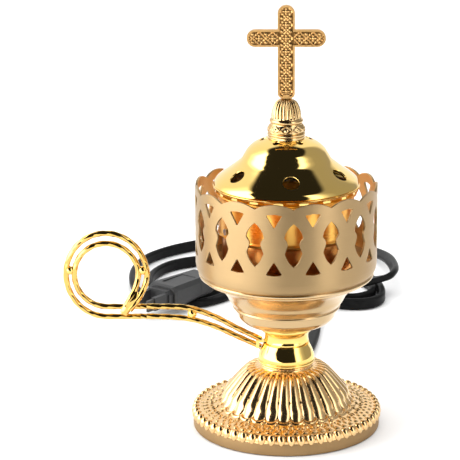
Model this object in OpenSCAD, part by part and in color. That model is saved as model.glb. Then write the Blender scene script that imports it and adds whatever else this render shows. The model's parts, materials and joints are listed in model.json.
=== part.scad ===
// Electric table censer: a gadrooned foot, a turned stem with a looped hand grip, a pierced
// gallery around a heated resin pan, and a lift-off domed lid with an acorn finial and a cross.
// Millimetres, +Z up. The origin is the centre of the flat underside, on the common turning
// axis. The hand grip points along -X, the mains lead leaves along +Y, and the front is -Y.

/* [Foot] */
// Radius of the foot at the table
foot_r = 44.1; // [42:0.1:46]
// Height of the foot, to the top of its collar
foot_h = 31; // [30:0.5:32]
// Wall of the cast foot
foot_wall = 1.8; // [1.4:0.1:2.2]
// Number of gadroon petals round the foot
petals = 32; // [24:1:36]
// Number of beads round the edge of the foot
beads = 60; // [48:1:64]

/* [Bowl and gallery] */
// Outer radius of the pierced gallery
gallery_r = 42.2; // [41.8:0.1:42.6]
// Height of the scalloped crests above the table
crest_z = 117.7; // [117:0.1:119]
// Depth of the scallops, crest to valley
scallop = 2.5; // [1.5:0.1:3]
// Wall of the gallery
gallery_wall = 1.4; // [1:0.1:1.8]
// Number of lobes round the gallery
lobes = 15; // [12:1:18]

/* [Lid] */
// Outer radius of the lid at its rim bead
lid_r = 34; // [33.6:0.1:34.4]
// Height of the lid's lower edge above the table
lid_z = 115.2; // [115.1:0.05:115.4]
// Wall of the spun lid
lid_wall = 1.2; // [1:0.1:1.4]
// Number of large vents, and of small ones
vents = 6; // [4:1:8]
// Diameter of a large vent
vent_d = 7.6; // [6:0.2:8]
// Diameter of a small vent
small_vent_d = 3.4; // [2.4:0.2:4]

/* [Cross] */
// Height of the top of the cross above the table
total_h = 200; // [198:0.5:202]
// Span of the arms
arm_span = 35.8; // [30:0.2:40]
// Width of the bars
bar_w = 7.8; // [7:0.1:8.4]
// Thickness of the cross
bar_t = 2.8; // [2.4:0.1:3.2]

/* [Hand grip] */
// Diameter of the twisted wire
wire_d = 2.8; // [2.4:0.1:3]
// Distance of the loop's centre from the turning axis
loop_x = 84; // [80:1:88]
// Height of the loop's centre above the table
loop_z = 73; // [72:0.5:74]

/* [Mains lead] */
// Width of the flat two-core lead
lead_w = 6.6; // [6:0.1:6.8]
// Thickness of the flat two-core lead
lead_t = 4.2; // [4:0.1:4.4]

/* [Hidden] */
$fn = 96;

small = 0.05;        // clearance of a screw in its own hole
gold = "#d9b26a";
satin = "#d8b287";
antique = "#b58a45";
steel = "#b9b9bb";
black = "#222224";
far = 60;            // reach of a cutter past the part it cuts

// tie rod and its bore
rod_r = 5;
rod_bore_r = 3.2;
rod_z0 = 2.5;
rod_z1 = 86;

// levels up the turning axis
stem_z0 = foot_h;
eye_z0 = 40.3;
eye_t = 1;
stem_z1 = 49.2;
bowl_z1 = 75.6;
can_z0 = 79.5;
can_z1 = 93.5;
cup_z0 = 94.6;
cup_z1 = 114.8;
can_r = 29.8;
cup_r = 31.4;
cup_wall = 1.2;
dome_z1 = lid_z + 23.8;
finial_z1 = dome_z1 + 18.2;

// --- curves ---------------------------------------------------------------------------------

// point between b and c on the smooth curve through a, b, c, d
function between(a, b, c, d, t) =
    0.5 * (2 * b + (c - a) * t + (2 * a - 5 * b + 4 * c - d) * t * t + (3 * b - a - 3 * c + d) * t * t * t);

// smooth curve through the points p, with n steps from each to the next
function smooth(p, n) = concat([
    for (i = [0 : len(p) - 2], k = [0 : n - 1])
        between(p[max(i - 1, 0)], p[i], p[i + 1], p[min(i + 2, len(p) - 1)], k / n)],
    [p[len(p) - 1]]);

// outline turned about Z, given as [radius, height] from bottom to top, closed to the axis
module turned(outline) {
    rotate_extrude()
        polygon(concat([[0, outline[0].y]], outline, [[0, outline[len(outline) - 1].y]]));
}

// n copies about Z, the first one turned by start from the front towards +X
module round_the_axis(n, start = 0) {
    for (i = [0 : n - 1]) rotate([0, 0, start - 90 + i * 360 / n]) children();
}

// a flat shape drawn as [sideways, height], pushed out along +X
module outward(from, to) {
    translate([from, 0, 0]) rotate([90, 0, 90]) linear_extrude(to - from) children();
}

module ring(r_out, r_in, z0, z1) {
    difference() {
        translate([0, 0, z0]) cylinder(r = r_out, h = z1 - z0);
        translate([0, 0, z0 - 1]) cylinder(r = r_in, h = z1 - z0 + 2);
    }
}

// tube swept along a path, with the section's own two axes at each point
module swept(path, side, up, section) {
    m = len(section);
    n = len(path);
    points = [for (i = [0 : n - 1], q = section) path[i] + side[i] * q.x + up[i] * q.y];
    faces = concat(
        [[for (k = [m - 1 : -1 : 0]) k]],
        [for (i = [0 : n - 2], k = [0 : m - 1])
            [i * m + k, i * m + (k + 1) % m, (i + 1) * m + (k + 1) % m, (i + 1) * m + k]],
        [[for (k = [0 : m - 1]) (n - 1) * m + k]]);
    polyhedron(points, faces, convexity = 10);
}

function unit(v) = v / norm(v);
function along(p, i) = unit(p[min(i + 1, len(p) - 1)] - p[max(i - 1, 0)]);

// --- foot -----------------------------------------------------------------------------------

band_h = 5.6;
shoulder = smooth([[foot_r - 0.2, band_h], [43.2, 8.2], [40.6, 9.9], [36, 10.9], [32, 12.3],
                   [30.2, 14], [28.8, 17], [26.4, 20], [24, 22.8], [21, 26], [18.3, 28], [14.6, 28.8]], 4);
foot_line = concat([[foot_r, 0]], shoulder, [[13, 29.2], [12.5, 29.8], [12.9, 30.4], [12.6, foot_h]]);
petal_mid = [24.6, 21.6];
petal_slope = 56;
petal_len = 15;
petal_gap_at = 3.5;            // turn of the first groove from the front
groove_r = 1.1;
bead_r = 1.75;
bead_at = [43, 8];
slot_w = 9.4;
slot_h = 4.6;
slot_z = 3.8;

module rear_slot(w, h) {
    rotate([0, 0, 180])
        translate([0, 0, slot_z])
            rotate([90, 0, 0])
                linear_extrude(far) {
                    square([w - h, h], center = true);
                    for (s = [-1, 1]) translate([s * (w - h) / 2, 0]) circle(d = h, $fn = 32);
                }
}

module foot_shell() {
    inside = [for (p = foot_line) [p.x - foot_wall, p.y - foot_wall * (p.y > band_h ? 1 : 0)]];
    color(satin)
        difference() {
            turned(foot_line);
            intersection() {
                translate([0, 0, -1]) turned(concat([inside[0]], inside));
                translate([0, 0, -2]) cylinder(r = far, h = foot_h - 1);
            }
            cylinder(r = rod_r + small, h = foot_h + 1);
            round_the_axis(petals, petal_gap_at)
                translate([petal_mid.x + groove_r / 2, 0, petal_mid.y + groove_r / 2])
                    rotate([0, 90 + petal_slope, 0])
                        cylinder(r = groove_r, h = petal_len, center = true, $fn = 24);
            rear_slot(slot_w, slot_h);
        }
}

module bead_row() {
    color(satin)
        round_the_axis(beads)
            translate([bead_at.x, 0, bead_at.y]) sphere(r = bead_r, $fn = 24);
}

plate_z = 1.2;
plate_t = 1.2;
plate_r = foot_r - foot_wall - 0.3;
notch_w = 10;                 // the plate is notched at the back, where the lead comes in
notch_y = 36;
plate_screw_x = 30;
plate_screw_r = 1.6;

module foot_plate() {
    color(steel)
        difference() {
            translate([0, 0, plate_z]) cylinder(r = plate_r, h = plate_t);
            translate([0, 0, plate_z - 1]) cylinder(r = rod_r + small, h = plate_t + 2);
            round_the_axis(3, 30)
                translate([plate_screw_x, 0, plate_z - 1])
                    cylinder(r = plate_screw_r + small, h = plate_t + 2, $fn = 32);
            translate([-notch_w / 2, notch_y, plate_z - 1]) cube([notch_w, foot_r, plate_t + 2]);
        }
}

module foot_pad() {
    color("#3b3a38") cylinder(r = plate_r, h = plate_z);
}

module plate_screws() {
    color(steel)
        round_the_axis(3, 30)
            translate([plate_screw_x, 0, plate_z]) {
                cylinder(r = plate_screw_r, h = plate_t + 2.6, $fn = 32);
                translate([0, 0, plate_t]) cylinder(r = 2.8, h = 1.6, $fn = 32);
            }
}

nut_af_r = 8.2;      // corner radius of the tie rod's hexagon nuts

module hex_nut(z0, h) {
    difference() {
        translate([0, 0, z0]) cylinder(r = nut_af_r, h = h, $fn = 6);
        translate([0, 0, z0 - 1]) cylinder(r = rod_r, h = h + 2);
    }
}

module foot_nut() {
    color(steel) {
        hex_nut(plate_z + plate_t, 4);
    }
}

module tie_rod() {
    color(steel) ring(rod_r - small, rod_bore_r, rod_z0, rod_z1);
}

// --- stem -----------------------------------------------------------------------------------

bulb_line = concat([[13, stem_z0], [13.4, stem_z0 + 0.3], [13.4, stem_z0 + 1], [13, stem_z0 + 1.4]],
                   smooth([[13.3, 32.8], [13.1, 34.4], [12.3, 36.6], [11.3, 38.8], [10.7, eye_z0]], 4));
waist_line = concat(smooth([[10.6, eye_z0 + eye_t], [10.3, 43], [10.5, 45], [11.4, 46.8]], 4),
                    [[12.3, 47.2], [12.7, 47.8], [12.7, 48.6], [12.3, stem_z1]]);

module stem_lower() {
    color(gold)
        difference() {
            turned(bulb_line);
            cylinder(r = rod_r, h = far);
        }
}

module stem_upper() {
    color(gold)
        difference() {
            turned(waist_line);
            cylinder(r = rod_r, h = far);
        }
}

// --- hand grip ------------------------------------------------------------------------------

loop_out = [18.9, 20.3];      // half width and half height of the outer wire's loop
loop_in = [15, 15.4];         // the same for the inner wire
low_run = [[-12, 37.8], [-22, 42.4], [-34, 48], [-46, 51.6], [-60, 52.7], [-76, 52.7]];
high_run = [[-11.8, 41.4], [-22, 46.4], [-34, 52.8], [-46, 56.9], [-60, 57.6], [-76, 57.6]];
loop_step = 12;               // degrees between rings of the loop
tip_forward = 2.9;            // how far the wire ends stand in front of the straight runs

function loop_point(size, a) = [-loop_x + size.x * cos(a), loop_z + size.y * sin(a)];

// a straight run, then the loop clockwise from its lowest point, then the ends drawn together
function grip_path(run, size, ends) = concat(
    [for (p = smooth(run, 4)) [p.x, 0, p.y]],
    [for (a = [-90 : -loop_step : -330]) let (p = loop_point(size, a)) [p.x, 0, p.y]],
    [for (e = ends) [e.x, -tip_forward * e.y, e.z]]);

outer_path = grip_path(low_run, loop_out, [[-65.3, 0, 76.5], [-65.4, 0.15, 70.5], [-67.4, 0.5, 65],
                                           [-70.2, 0.85, 60.6], [-73.2, 1, 56.8]]);
inner_path = grip_path(high_run, loop_in, [[-69.2, 0, 76.2], [-69.4, 0.15, 71], [-70.8, 0.5, 66.2],
                                           [-72.8, 0.85, 62.4], [-75.4, 1, 58.6]]);

module grip_wire(path) {
    last = len(path) - 1;
    dir = [for (i = [0 : last]) along(path, i)];
    side = [for (i = [0 : last]) unit(cross([0, 1, 0], dir[i]))];
    up = [for (i = [0 : last]) cross(dir[i], side[i])];
    section = [for (k = [0 : 9]) wire_d / 2 * [cos(36 * k), sin(36 * k)]];
    swept(path, side, up, section);
}

module handle_outer_wire() { color(gold) grip_wire(outer_path); }

module handle_inner_wire() { color(gold) grip_wire(inner_path); }

module handle_balls() {
    color(gold) {
        translate([-44.2, 0, 54.2]) sphere(r = 2, $fn = 32);
        translate([-101, 0, 75.3]) sphere(r = 1.9, $fn = 32);
        translate([-67, 0, 75.3]) sphere(r = 2, $fn = 32);
    }
}

// flattened blade that closes the wire ends, brazed to the front of the straight run
module handle_tip() {
    color(gold)
        hull() {
            translate([-72.6, -tip_forward, 60]) cube([6, 2.8, 4], center = true);
            translate([-75.6, -tip_forward, 56.6]) cube([4.4, 3.2, 3], center = true);
        }
}

tongue_w = 3;

module handle_eye() {
    color(gold) {
        difference() {
            union() {
                translate([0, 0, eye_z0]) cylinder(r = 9.8, h = eye_t);
                translate([-14.2, -tongue_w / 2, eye_z0]) cube([12, tongue_w, eye_t]);
                translate([-14.3, -tongue_w / 2, 37.4]) cube([1.6, tongue_w, eye_z0 + eye_t - 37.4]);
            }
            cylinder(r = rod_r, h = far);
        }
    }
}

// --- bowl and gallery -----------------------------------------------------------------------

bowl_wall = 1.5;
goblet = smooth([[15, 49.6], [19.4, 51], [22.4, 53.6], [23.4, 56], [24.1, 58]], 4);
flare = smooth([[24.9, 59.3], [26.8, 62], [28.4, 65], [31.4, 68.6], [34.8, 71], [38, 72.2]], 4);
bowl_line = concat([[12.5, stem_z1]], goblet, [[25.1, 58.2], [25.3, 58.8]], flare,
                   [[38.9, 72.6], [39, 73.2], [39.8, 73.4], [40.7, 74.1], [40.9, 74.8], [40.2, bowl_z1]]);

module bowl_shell() {
    hollow = concat([[10, stem_z1 + 2.2]], [for (p = goblet) [p.x - bowl_wall, p.y + bowl_wall]],
                    [for (p = flare) if (p.y < 71) [p.x - bowl_wall, p.y + bowl_wall * 0.6]],
                    [[36.6, 73.4], [36.6, bowl_z1 + 1]]);
    color(satin)
        difference() {
            turned(bowl_line);
            turned(hollow);
            cylinder(r = rod_r, h = far);
        }
}

gallery_base = smooth([[40.2, bowl_z1], [41.6, 77.4], [gallery_r, 80.4]], 4);
gallery_line = concat(gallery_base, [[gallery_r, crest_z + 1]]);
first_valley = 4.5;           // degrees from the front to the first valley, towards +X
lobe_angle = 360 / lobes;
lobe_half = gallery_r * sin(lobe_angle / 2);
lobe_arc = (lobe_half * lobe_half + scallop * scallop) / (2 * scallop);

// tall cut-out: two curved diamonds, one above the other, that run together
knot_side = [[0, 88.8], [2.5, 91.6], [4.2, 95.4], [3.2, 98], [2.8, 99.6], [3.1, 100.8],
             [4.4, 102.6], [3.9, 104.8], [2.2, 107.4], [0, 109.5]];
knot = concat(knot_side, [for (i = [len(knot_side) - 2 : -1 : 1]) [-knot_side[i].x, knot_side[i].y]]);

// triangle with its corners nipped off, from its base to its tip
module vent_triangle(z_base, z_tip, half) {
    nip = 0.6;
    toward = sign(z_tip - z_base);
    polygon([[-nip, z_tip], [nip, z_tip], [half, z_base + toward * nip], [half - nip, z_base],
             [nip - half, z_base], [-half, z_base + toward * nip]]);
}

// what is cut away between two neighbouring crests, each crest an arc of radius lobe_arc
function crest_drop(x) = lobe_arc - sqrt(lobe_arc * lobe_arc - x * x);

module scallop_gap() {
    steps = 5;
    edge = lobe_half + 0.6;
    dip = [for (i = [1 : steps])
        [-lobe_half * (1 - i / steps), crest_z - crest_drop(lobe_half * i / steps)]];
    polygon(concat([[-edge, crest_z + 2], [-edge, crest_z]], dip,
                   [for (i = [steps - 2 : -1 : 0]) [-dip[i].x, dip[i].y]],
                   [[edge, crest_z], [edge, crest_z + 2]]));
}

module gallery() {
    inner = [for (p = gallery_base) [p.x - gallery_wall, p.y + (p.y < bowl_z1 + 1 ? gallery_wall : 0)]];
    color(satin)
        difference() {
            turned(gallery_line);
            turned(concat(inner, [[gallery_r - gallery_wall, crest_z + 2]]));
            cylinder(r = 36.6, h = far + bowl_z1);
            round_the_axis(lobes, first_valley) {
                outward(gallery_r - 4, gallery_r + 3) polygon(knot);
                outward(gallery_r - 4, gallery_r + 3) scallop_gap();
            }
            round_the_axis(lobes, first_valley + lobe_angle / 2) {
                outward(gallery_r - 4, gallery_r + 3) vent_triangle(113.3, 106.8, 3.85);
                outward(gallery_r - 4, gallery_r + 3) vent_triangle(85.3, 91.9, 3.85);
            }
        }
}

// --- heater ---------------------------------------------------------------------------------

module bowl_washer() {
    color(steel) ring(9.4, rod_r, stem_z1 + 2.2, stem_z1 + 3.6);
}

module spacer_tube() {
    color(steel) ring(7.4, rod_r, stem_z1 + 3.6, can_z0);
}

module heater_can() {
    color(steel)
        difference() {
            translate([0, 0, can_z0]) cylinder(r = can_r, h = can_z1 - can_z0);
            translate([0, 0, can_z0 + 1]) cylinder(r = can_r - 1, h = can_z1);
            translate([0, 0, can_z0 - 1]) cylinder(r = rod_r, h = 3);
        }
}

module can_nut() { color(steel) hex_nut(can_z0 + 1, 4); }

element_r = 19;

module heating_element() {
    color("#5b5b60") {
        translate([0, 0, can_z1 - 3])
            rotate_extrude(angle = 320, $fn = 72) translate([element_r, 0]) circle(r = 1.8, $fn = 24);
        for (a = [0, 320])
            rotate([0, 0, a]) translate([element_r, 0, can_z1 - 9]) cylinder(r = 1.2, h = 6, $fn = 24);
    }
}

module thermal_fuse() {
    color("#e9e4d8")
        translate([-10, 12, can_z0 + 3]) rotate([0, 90, 0]) cylinder(r = 1.8, h = 10, $fn = 32);
}

cup_screw_r = 1.5;
cup_screw_at = 24;

module inner_cup() {
    color(gold)
        difference() {
            union() {
                translate([0, 0, cup_z0]) cylinder(r = cup_r, h = cup_z1 - cup_z0 - 1);
                translate([0, 0, cup_z0 - 1.1]) cylinder(r = cup_r - 1.2, h = 1.1);
                rotate_extrude() translate([cup_r, cup_z0 + 0.8]) circle(r = 0.8, $fn = 24);
                rotate_extrude() translate([cup_r + 0.3, cup_z1 - 1.1]) circle(r = 1.1, $fn = 24);
            }
            translate([0, 0, cup_z0 + cup_wall]) cylinder(r = cup_r - cup_wall, h = far);
            translate([0, 0, cup_z0 - 2]) cylinder(r = 12, h = far);
            round_the_axis(3, 30)
                translate([cup_screw_at, 0, cup_z0 - 2]) cylinder(r = cup_screw_r, h = 6, $fn = 32);
        }
}

module cup_rivets() {
    color(steel)
        round_the_axis(3, -60)
            translate([cup_r + 0.1, 0, 98.4]) rotate([0, 90, 0]) {
                cylinder(r = 1.5, h = 1, $fn = 32);
                translate([0, 0, -0.1 - cup_wall]) cylinder(r = 0.8, h = 2, $fn = 32);
            }
}

module cup_screws() {
    color(steel)
        round_the_axis(3, 30)
            translate([cup_screw_at, 0, can_z0 + 1]) {
                cylinder(r = cup_screw_r - small, h = cup_z0 + cup_wall - can_z0 - 1, $fn = 32);
                cylinder(r = 2.2, h = can_z1 - can_z0 - 1, $fn = 32);
            }
}

plate_r2 = cup_r - cup_wall - 0.2;
mica_z = cup_z0 + cup_wall;

module mica_disc() { color("#cdbd8f") translate([0, 0, mica_z]) cylinder(r = plate_r2, h = 1); }

module heater_plate() {
    color("#8f8f92")
        difference() {
            translate([0, 0, mica_z + 1]) cylinder(r = plate_r2, h = 4);
            translate([0, 0, mica_z + 3]) cylinder(r = 20, h = 4);
        }
}

lead_wire_r = 0.9;

module element_leads() {
    color("#d8d2c4")
        for (s = [-1, 1])
            translate([s * 1.4, 0, 4]) cylinder(r = lead_wire_r, h = rod_z1 - 2, $fn = 24);
}

// --- mains wiring ---------------------------------------------------------------------------

floor_z = plate_z + plate_t;
block = [16, 9, 8];
block_y = 15;

module terminal_block() {
    color("#efeae0")
        difference() {
            translate([-block.x / 2, block_y, floor_z]) cube(block);
            for (s = [-1, 1])
                translate([s * 4, block_y - 1, floor_z + 3])
                    rotate([-90, 0, 0]) cylinder(r = 1.4, h = block.y + 2, $fn = 24);
            for (s = [-1, 1])
                translate([s * 4, block_y + block.y / 2, floor_z + 3]) cylinder(r = 1.5, h = 9, $fn = 24);
        }
}

module terminal_screws() {
    color(steel)
        for (s = [-1, 1])
            translate([s * 4, block_y + block.y / 2, floor_z + 4.6])
                cylinder(r = 1.5 - small, h = 3, $fn = 24);
}

tail_y0 = 26;
tail_y1 = 42.2;
tail_z = floor_z + lead_t / 2;
tail_bend_y = notch_y + 1;    // from here the tail slopes down to the slot in the foot

// flat lead's section: two cores side by side, with a shallow groove between them
module lead_section(w, t) {
    hull() for (s = [-1, 1]) translate([s * (w - t) / 2, 0]) circle(d = t, $fn = 32);
}

module lead_tail() {
    color(black) {
        translate([0, tail_bend_y, tail_z])
            rotate([90, 0, 0]) linear_extrude(tail_bend_y - tail_y0) lead_section(lead_w, lead_t);
        hull() {
            relief_slice(tail_bend_y - small, tail_z, lead_w, lead_t, small);
            relief_slice(tail_y1 - small, slot_z, lead_w, lead_t, small);
        }
    }
}

clamp_y = 28.5;

module lead_clamp() {
    top = floor_z + lead_t + 0.2;
    color(steel)
        difference() {
            translate([-9, clamp_y - 3, floor_z]) cube([18, 6, lead_t + 1.4]);
            translate([-lead_w / 2 - 0.2, clamp_y - 4, floor_z - 1]) cube([lead_w + 0.4, 8, lead_t + 1.4]);
            for (s = [-1, 1])
                translate([s * 6.4, clamp_y, floor_z - 1]) cylinder(r = 1.3, h = top, $fn = 24);
        }
}

module clamp_screws() {
    color(steel)
        for (s = [-1, 1])
            translate([s * 6.4, clamp_y, floor_z]) {
                cylinder(r = 1.3 - small, h = lead_t + 2, $fn = 24);
                translate([0, 0, lead_t + 1.4]) cylinder(r = 2, h = 0.9, $fn = 24);
            }
}

relief_y1 = 68;
relief_end_z = lead_t / 2 + 0.7;

module relief_slice(y, z, w, t, depth) {
    translate([0, y, z]) rotate([-90, 0, 0]) linear_extrude(depth) lead_section(w, t);
}

module strain_relief() {
    color(black) {
        relief_slice(tail_y1, slot_z, slot_w - 0.2, slot_h - 0.2, 2.8);
        relief_slice(tail_y1 + 2.8, slot_z, 11.6, 6.6, 2.6);
        hull() {
            relief_slice(tail_y1 + 5.4, slot_z, 9.8, 6, 1);
            relief_slice(relief_y1 - 1, relief_end_z, lead_w + 0.8, lead_t + 0.8, 1);
        }
    }
}

// Route of the lead from the relief to the plug: [x, y, lift off the table, turn of the
// section], with turn 0 for the lead lying flat and 90 for the lead standing on its edge.
route = [
    [0, 68, 0.7, 0], [4, 80, 0, 0], [10, 93, 0, 0], [13, 109, 0, 0], [15, 127, 0, 0],
    [16, 144, 1.5, 0], [19, 158, 4.8, 0], [23, 172, 7.2, 0], [31, 184, 7.2, 0], [42, 191.5, 7.2, 0],
    [51, 197, 7.4, 8], [58, 201, 7.6, 30], [62, 210, 7.2, 58], [63, 224, 6, 64], [61.5, 242, 5, 50],
    [58.5, 257, 3.5, 38], [54, 271, 1.5, 38], [45, 285, 0, 60], [27, 297, 0, 90],
    [4, 303, 0, 90], [-22, 302, 0, 90], [-47, 295, 0, 90],
    [-68, 281, 0, 90], [-83, 262, 0, 90], [-89, 241, 0, 90], [-90, 221, 0, 90], [-87, 203, 0, 70],
    [-79, 188, 0, 30], [-66, 178, 0, 0], [-50, 177, 0, 0], [-38, 186, 0, 0], [-29, 198, 0, 0],
    [-17, 206, 0, 30], [-3, 204, 0, 80], [10, 194, 0, 90], [21, 181, 0, 90], [30, 174, 0, 90],
    [39, 172, 0, 90], [47.5, 174.5, 0, 90], [53.5, 183, 0, 90], [54.5, 195, 0, 90], [52.5, 209, 0, 90],
    [47, 223, 0, 90], [36, 236, 0, 90], [18, 247, 0, 90], [-5, 255, 0, 90], [-29, 259, 0, 90],
    [-51, 257, 0, 90], [-68, 247, 0, 90], [-77, 231, 0, 90], [-79, 214, 0, 80], [-74, 199, 0, 40],
    [-62, 189, 0, 0], [-48, 191, 0, 0], [-40, 202, 0, 0], [-32, 214, 0, 10], [-18, 220, 0, 40],
    [-3, 215, 0, 80], [9, 206, 0, 90], [18.5, 193, 0, 90], [27.5, 184, 0, 90], [38, 181.5, 0, 90],
    [46.5, 187, 0, 90], [49.5, 197, 0, 90], [47.5, 210, 0, 90], [39, 223, 0, 90], [25, 232, 0, 90],
    [8, 236, 0, 90], [-9, 233, 2.4, 60], [-21, 225, 5.8, 20], [-29, 217, 7.8, 0],
    [-33, 212.4, 8.6, 0]];

module lead() {
    last = len(route) - 1;
    section = [for (s = [-1, 1], a = [-90 : 45 : 90])
        [s * ((lead_w - lead_t) / 2 + lead_t / 2 * cos(a)), s * lead_t / 2 * sin(a)]];
    flat = [for (p = route) [p.x, p.y, 0]];
    side = [for (i = [0 : last]) let (d = along(flat, i), t = route[i][3])
        [d.y * cos(t), -d.x * cos(t), sin(t)]];
    up = [for (i = [0 : last]) let (d = along(flat, i), t = route[i][3])
        [-d.y * sin(t), d.x * sin(t), cos(t)]];
    path = [for (i = [0 : last]) let (half = max([for (q = section) side[i].z * q.x + up[i].z * q.y]))
        [route[i].x, route[i].y, route[i].z + half]];
    color(black) swept(path, side, up, section);
}

// --- plug -----------------------------------------------------------------------------------

plug_at = [-57.8, 178.6, 10.8];
plug_turn = 233;              // direction that the blades point in, from +X
plug_l = 38;
plug_w = 20.4;
plug_h = 12.6;
blade_gap = 12.7;
blade = [16, 1.5, 6.3];
plug_tail_l = 23.6;
nose_l = 3.5;
sleeve_l = 10.8;
sleeve_wall = 0.5;

// section of the plug: a block with bevelled long edges
module plug_slice(w, h) {
    bevel = 2.2;
    polygon([[-w / 2, bevel - h / 2], [bevel - w / 2, -h / 2], [w / 2 - bevel, -h / 2],
             [w / 2, bevel - h / 2], [w / 2, h / 2 - bevel], [w / 2 - bevel, h / 2],
             [bevel - w / 2, h / 2], [-w / 2, h / 2 - bevel]]);
}

module plug_body() {
    panel = [10, 18];
    color(black)
        translate(plug_at) rotate([0, 0, plug_turn]) rotate([90, 0, 90]) {
            difference() {
                hull() {
                    translate([0, 0, plug_l / 2 - 1]) linear_extrude(1) plug_slice(plug_w - 1, plug_h - 1);
                    translate([0, 0, plug_l / 2 - 3]) linear_extrude(1) plug_slice(plug_w, plug_h);
                    translate([0, 0, 2 - plug_l / 2]) linear_extrude(1) plug_slice(plug_w - 3, plug_h - 1.4);
                    translate([0, 0, -plug_l / 2]) linear_extrude(1) plug_slice(plug_w - 6, plug_h - 3.6);
                }
                for (s = [-1, 1])
                    translate([-panel.x / 2, s * (plug_h / 2 - 0.2) - 0.5, -panel.y / 2 + 4])
                        cube([panel.x, 1, panel.y]);
                for (s = [-1, 1], k = [0 : 4])
                    translate([s * (plug_w / 2 - 0.4) - 0.6, -plug_h, -plug_l / 2 + 5 + 2.4 * k])
                        cube([1.2, 2 * plug_h, 1]);
            }
            translate([0, 0, plug_l / 2 - small])
                linear_extrude(nose_l + small) plug_slice(plug_w - 3.4, plug_h - 3.4);
            hull() {
                translate([0, 0, -plug_l / 2 - 0.5]) linear_extrude(0.5) lead_section(11, 8);
                translate([0, 0, -plug_l / 2 - plug_tail_l]) linear_extrude(0.5)
                    lead_section(lead_w + 0.6, lead_t + 0.6);
            }
        }
}

module plug_blades() {
    color(steel)
        translate(plug_at) rotate([0, 0, plug_turn])
            for (s = [-1, 1])
                difference() {
                    translate([plug_l / 2 + nose_l, s * blade_gap / 2 - blade.y / 2, -blade.z / 2])
                        cube(blade);
                    translate([plug_l / 2 + nose_l + blade.x - 3.5, s * blade_gap / 2, 0])
                        rotate([90, 0, 0]) cylinder(d = 3, h = 4, center = true, $fn = 32);
                }
}

// black insulation round the roots of the contacts
module blade_sleeves() {
    wall = [0, sleeve_wall, sleeve_wall];
    color(black)
        translate(plug_at) rotate([0, 0, plug_turn])
            for (s = [-1, 1])
                translate([plug_l / 2 + nose_l + small, s * blade_gap / 2 - blade.y / 2, -blade.z / 2])
                    difference() {
                        translate(-wall) cube([sleeve_l, blade.y, blade.z] + 2 * wall);
                        translate([-1, -small, -small])
                            cube([sleeve_l + 2, blade.y + 2 * small, blade.z + 2 * small]);
                    }
}

// --- lid ------------------------------------------------------------------------------------

collar_r = cup_r - cup_wall - 0.3;
collar_z0 = lid_z - 4.4;

module lid_collar() {
    color(steel) {
        ring(collar_r, collar_r - 1, collar_z0, lid_z + 1.4);
        ring(collar_r + 0.9, collar_r - 0.5, lid_z + 0.4, lid_z + 1.4);
    }
}

rim_line = [[33.5, lid_z], [33.5, lid_z + 1.1], [lid_r, lid_z + 1.3], [lid_r, lid_z + 2],
    [33.4, lid_z + 2.3]];
dome_line = smooth([[33.7, lid_z + 2.6], [32.7, lid_z + 4.4], [30.6, lid_z + 6.3], [27, lid_z + 8.9],
                    [23.6, lid_z + 11.5], [21.1, lid_z + 13.7], [19.4, lid_z + 16.4],
                    [17.6, lid_z + 19], [14.4, lid_z + 21.6], [9.4, dome_z1]], 4);
vent_at = [27, lid_z + 8.9];
vent_tilt = 50;
small_vent_r = 10.6;
vent_start = 4.5;
finial_screw_r = 2;

module lid_dome() {
    inside = concat([[31.2, lid_z - 1]], [[31.2, lid_z + 2.4]],
                    [for (p = dome_line) [p.x - lid_wall, p.y - lid_wall * 0.7]]);
    color(gold)
        difference() {
            turned(concat(rim_line, dome_line));
            turned(inside);
            round_the_axis(vents, vent_start)
                translate([vent_at.x, 0, vent_at.y]) rotate([0, 90 - vent_tilt, 0])
                    cylinder(d = vent_d, h = 10, center = true, $fn = 48);
            round_the_axis(vents, vent_start + 180 / vents)
                translate([small_vent_r, 0, dome_z1 - 4]) cylinder(d = small_vent_d, h = 8, $fn = 32);
            translate([0, 0, dome_z1 - 4]) cylinder(r = finial_screw_r + small, h = 8, $fn = 32);
        }
}

finial_line = concat([[8.5, 0], [8.5, 1], [8.3, 1.1], [8.75, 1.6], [8.75, 2.2], [8.3, 2.6]],
                     smooth([[8.6, 3], [8.7, 4], [8.2, 5.6], [7.4, 6.9]], 4),
                     [[7.2, 7.1], [7.7, 7.5], [7.8, 8.1], [7.5, 8.8], [7.0, 9.1]],
                     smooth([[6.95, 9.3], [6.8, 11.4], [6.2, 14], [5, 16.4], [3.2, 17.8]], 4));
finial_base = dome_z1 + 0.02;

module finial() {
    color(gold)
        difference() {
            translate([0, 0, finial_base]) turned(concat(finial_line, [[2.6, 18.1]]));
            translate([0, 0, finial_base - 1]) cylinder(r = finial_screw_r + small, h = 11, $fn = 32);
            translate([-post_w / 2, -post_t / 2, finial_z1 - 5]) cube([post_w, post_t, 8]);
        }
}

module finial_screw() {
    head_h = 2;
    under = dome_z1 - lid_wall * 0.7;
    color(steel) {
        translate([0, 0, under - head_h]) cylinder(r = 4, h = head_h, $fn = 48);
        translate([0, 0, under]) cylinder(r = finial_screw_r, h = 9, $fn = 32);
    }
}

// --- cross ----------------------------------------------------------------------------------

post_w = 2.8;
post_t = 3.4;
post_top = finial_z1 + 2;
arm_z = total_h - 15;
rim_w = 0.9;
face_depth = 0.5;

module cross_post() {
    color(antique)
        translate([-post_w / 2, -post_t / 2, finial_z1 - 5])
            cube([post_w, post_t, post_top - finial_z1 + 5]);
}

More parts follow.
